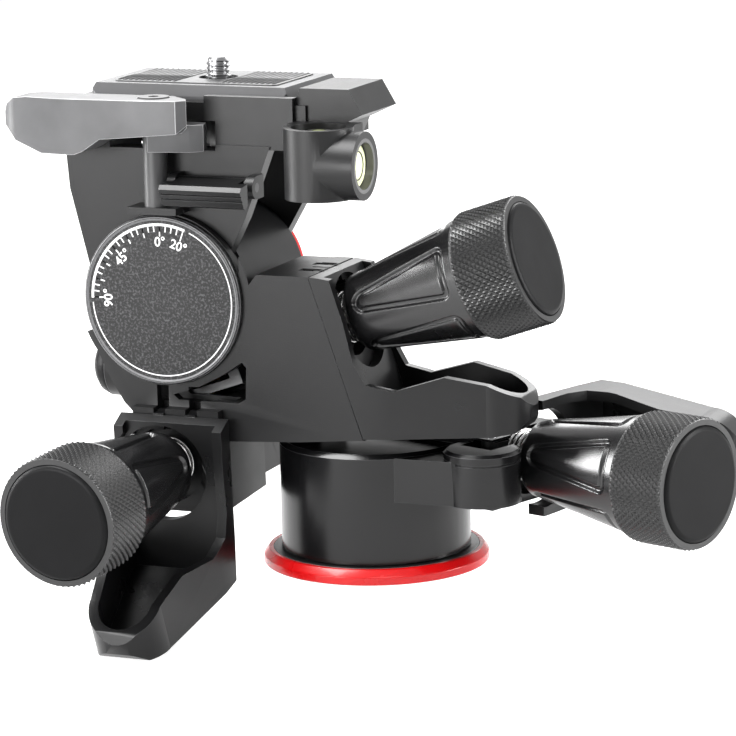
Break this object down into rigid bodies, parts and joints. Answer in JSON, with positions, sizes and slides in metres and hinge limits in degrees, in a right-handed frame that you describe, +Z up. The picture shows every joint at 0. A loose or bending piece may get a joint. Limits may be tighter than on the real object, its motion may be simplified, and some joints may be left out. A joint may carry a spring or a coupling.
{
  "type": "geared tripod head",
  "caption": "Three-axis geared tripod head: worm knobs with squeeze-release levers drive pan, front tilt and side tilt under a quick-release camera plate.",
  "frame": {"origin": "centre of the base's underside, at the mouth of the mounting thread, on the pan axis", "axes": "+Z up along the pan axis; the side-tilt dial faces -Y; the side-tilt and pan knobs point to +X"},
  "size_m": [0.191, 0.1209, 0.1479],
  "materials": {
    "body": "fine-textured black",
    "red_trim": "glossy red",
    "steel": "bright turned",
    "brass": "machined",
    "bearing_plastic": "plain moulded",
    "carrier_zinc": "die cast",
    "worm_steel": "machined, greased",
    "knob": "satin black",
    "grip": "diamond-knurled black",
    "lever": "satin black",
    "spring": "drawn wire",
    "dial": "textured black with a white scale",
    "vial": "clear, yellow-green fluid",
    "vial_ring": "polished",
    "plate": "black anodised, satin",
    "pad": "ribbed",
    "screw_red": "red-brown head"
  },
  "bodies": {
    "base": {"base_plate": "body", "base_ring": "red_trim", "base_insert": "steel", "pan_spindle": "steel", "pan_wheel": "brass", "pan_nut": "steel"},
    "pan": {"pan_housing": "body", "pan_bushing": "bearing_plastic", "tilt_axle": "steel", "tilt_wheel": "brass", "pan_lever_pin": "steel", "pan_spring": "spring"},
    "pan_yoke": {"pan_carrier": "carrier_zinc", "pan_bushes": "brass"},
    "pan_turn": {"pan_worm": "worm_steel", "pan_knob": "knob", "pan_grip": "grip", "pan_knob_cap": "knob"},
    "pan_squeeze": {"pan_lever": "lever"},
    "tilt": {"tilt_body": "body", "tilt_end_cap": "lever", "tilt_red_ring": "red_trim", "roll_dial": "dial", "tilt_lever_pin": "steel", "tilt_spring": "spring", "roll_lever_pin": "steel", "roll_spring": "spring"},
    "tilt_yoke": {"tilt_carrier": "carrier_zinc", "tilt_bushes": "brass"},
    "tilt_turn": {"tilt_worm": "worm_steel", "tilt_knob": "knob", "tilt_grip": "grip", "tilt_knob_cap": "knob"},
    "tilt_squeeze": {"tilt_lever": "lever"},
    "roll_yoke": {"roll_carrier": "carrier_zinc", "roll_bushes": "brass"},
    "roll_turn": {"roll_worm": "worm_steel", "roll_knob": "knob", "roll_grip": "grip", "roll_knob_cap": "knob"},
    "roll_squeeze": {"roll_lever": "lever"},
    "head": {"bracket": "body", "roll_axle": "steel", "roll_wheel": "brass", "rear_disc": "lever", "rear_red_ring": "red_trim", "round_vial": "vial", "tube_vial": "vial", "tube_vial_ring": "vial_ring", "plate_lever_post": "steel", "plate_lever_screw": "screw_red", "catch_pin": "steel"},
    "lock": {"plate_lever": "lever"},
    "catch": {"safety_catch": "lever"},
    "plate": {"camera_plate": "plate", "plate_pad": "pad"},
    "screw": {"camera_screw": "steel"}
  },
  "joints": [
    {"name": "pan_squeeze", "type": "hinge", "parent": "pan", "child": "pan_squeeze", "pos_m": [0.03433, -0.00352, 0.0296], "axis": [0, 0, -1], "range_deg": [0, 8]},
    {"name": "pan_release", "type": "slide", "parent": "pan", "child": "pan_yoke", "axis": [0.3256, 0.9455, 0], "range_m": [0, 0.0018], "stiffness_N_per_m": 3600, "springref_m": -0.0032},
    {"name": "pan_knob", "type": "hinge", "parent": "pan_yoke", "child": "pan_turn", "pos_m": [0.0064, 0.01858, 0.0296], "axis": [0.9455, -0.3256, 0], "continuous": true},
    {"name": "tilt_squeeze", "type": "hinge", "parent": "tilt", "child": "tilt_squeeze", "pos_m": [-0.045, -0.02426, 0.04042], "axis": [-1, 0, 0], "range_deg": [0, 8]},
    {"name": "tilt_release", "type": "slide", "parent": "tilt", "child": "tilt_yoke", "axis": [0, 0.061, -0.9981], "range_m": [0, 0.0018], "stiffness_N_per_m": 3600, "springref_m": -0.0032},
    {"name": "tilt_knob", "type": "hinge", "parent": "tilt_yoke", "child": "tilt_turn", "pos_m": [-0.045, 0.009, 0.03063], "axis": [-0.0872, -0.9943, -0.0608], "continuous": true},
    {"name": "roll_squeeze", "type": "hinge", "parent": "tilt", "child": "roll_squeeze", "pos_m": [-0.00977, -0.0099, 0.07728], "axis": [0, -1, 0], "range_deg": [0, 8]},
    {"name": "roll_release", "type": "slide", "parent": "tilt", "child": "roll_yoke", "axis": [0.3256, 0, -0.9455], "range_m": [0, 0.0018], "stiffness_N_per_m": 3600, "springref_m": -0.0032},
    {"name": "roll_knob", "type": "hinge", "parent": "roll_yoke", "child": "roll_turn", "pos_m": [-0.04195, -0.0099, 0.05372], "axis": [0.9455, 0, 0.3256], "continuous": true},
    {"name": "pan_turn", "type": "hinge", "parent": "base", "child": "pan", "pos_m": [0, 0, 0], "axis": [0, 0, 1], "continuous": true},
    {"name": "front_tilt", "type": "hinge", "parent": "pan", "child": "tilt", "pos_m": [-0.045, 0.008, 0.047], "axis": [-1, 0, 0], "range_deg": [-4, 90]},
    {"name": "side_tilt", "type": "hinge", "parent": "tilt", "child": "head", "pos_m": [-0.04835, 0, 0.0723], "axis": [0, 1, 0], "range_deg": [-90, 20]},
    {"name": "plate_lock", "type": "hinge", "parent": "head", "child": "lock", "pos_m": [-0.049, -0.0262, 0.115], "axis": [0, 0, 1], "range_deg": [0, 40]},
    {"name": "catch_press", "type": "hinge", "parent": "head", "child": "catch", "pos_m": [-0.035, -0.0252, 0.103], "axis": [-1, 0, 0], "range_deg": [0, 20], "stiffness_Nm_per_rad": 0.05, "springref_deg": -28.65},
    {"name": "plate_lift", "type": "slide", "parent": "head", "child": "plate", "axis": [0, 0, 1], "range_m": [0, 0.012]},
    {"name": "screw_turn", "type": "hinge", "parent": "plate", "child": "screw", "pos_m": [-0.0425, 0, 0.1238], "axis": [0, 0, 1], "continuous": true}
  ],
  "couplings": [
    {"joint": "pan_squeeze", "follows": "pan_release", "rad_per_m": 77.57},
    {"joint": "tilt_squeeze", "follows": "tilt_release", "rad_per_m": 77.57},
    {"joint": "roll_squeeze", "follows": "roll_release", "rad_per_m": 77.57},
    {"joint": "pan_knob", "follows": "pan_turn", "ratio": 46},
    {"joint": "tilt_knob", "follows": "front_tilt", "ratio": -36},
    {"joint": "roll_knob", "follows": "side_tilt", "ratio": -46}
  ]
}
